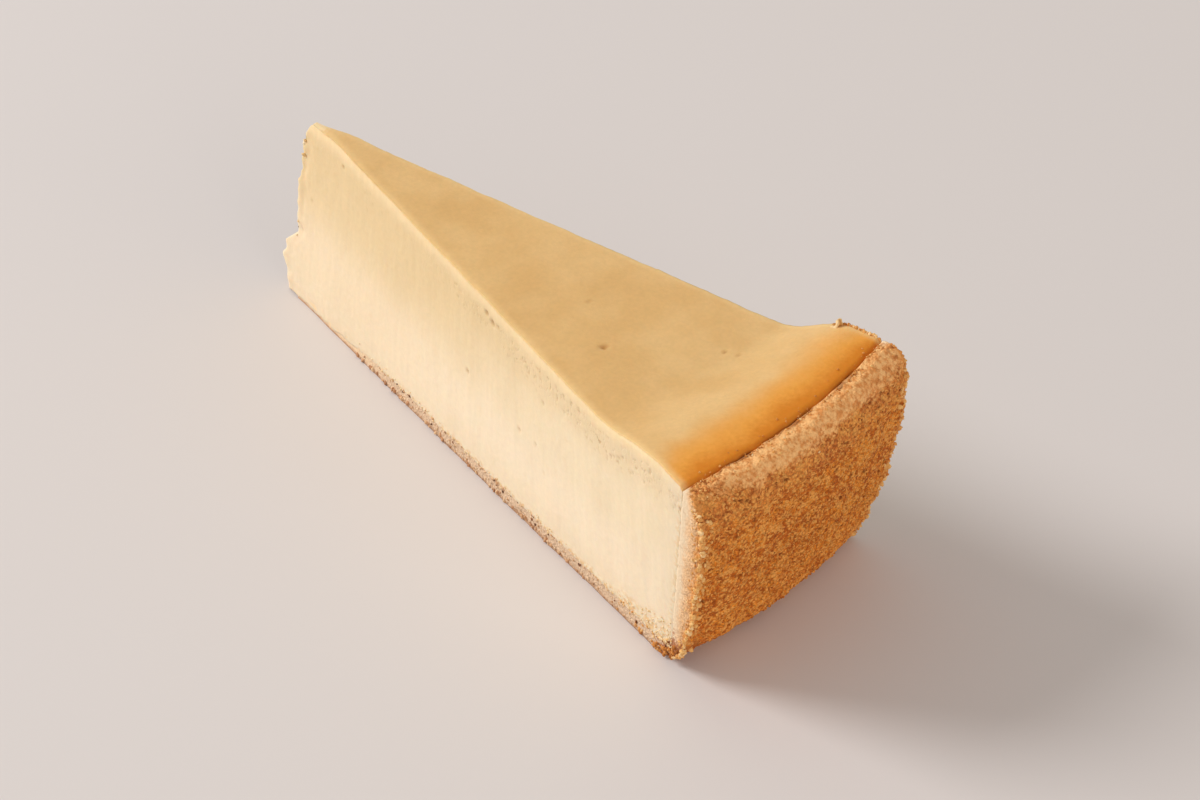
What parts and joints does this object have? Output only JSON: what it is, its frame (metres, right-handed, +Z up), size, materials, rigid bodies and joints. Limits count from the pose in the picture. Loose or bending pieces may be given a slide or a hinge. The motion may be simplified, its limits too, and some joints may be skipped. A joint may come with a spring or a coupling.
{
  "type": "new york cheesecake slice",
  "caption": "Tall narrow wedge of baked cheesecake: dense cream filling with a tan top that rises and browns towards a golden shortcrust rim, on a thin crust base.",
  "frame": {"origin": "under the middle of the slice, on the plane that it stands on", "axes": "+X along the slice from its tip to the crust rim, the slanted cut faces -Y, +Z up"},
  "size_m": [0.1268, 0.0464, 0.0425],
  "materials": {
    "crust": "dry baked shortcrust pastry, golden brown and granular, with dark pits and pale crumbs at its broken edges",
    "filling": "dense baked cream cheese, pale cream and matte on the cuts, with a smooth tan baked top that browns beside the rim"
  },
  "bodies": {
    "root": {"crust": "crust", "filling": "filling"}
  },
  "joints": []
}
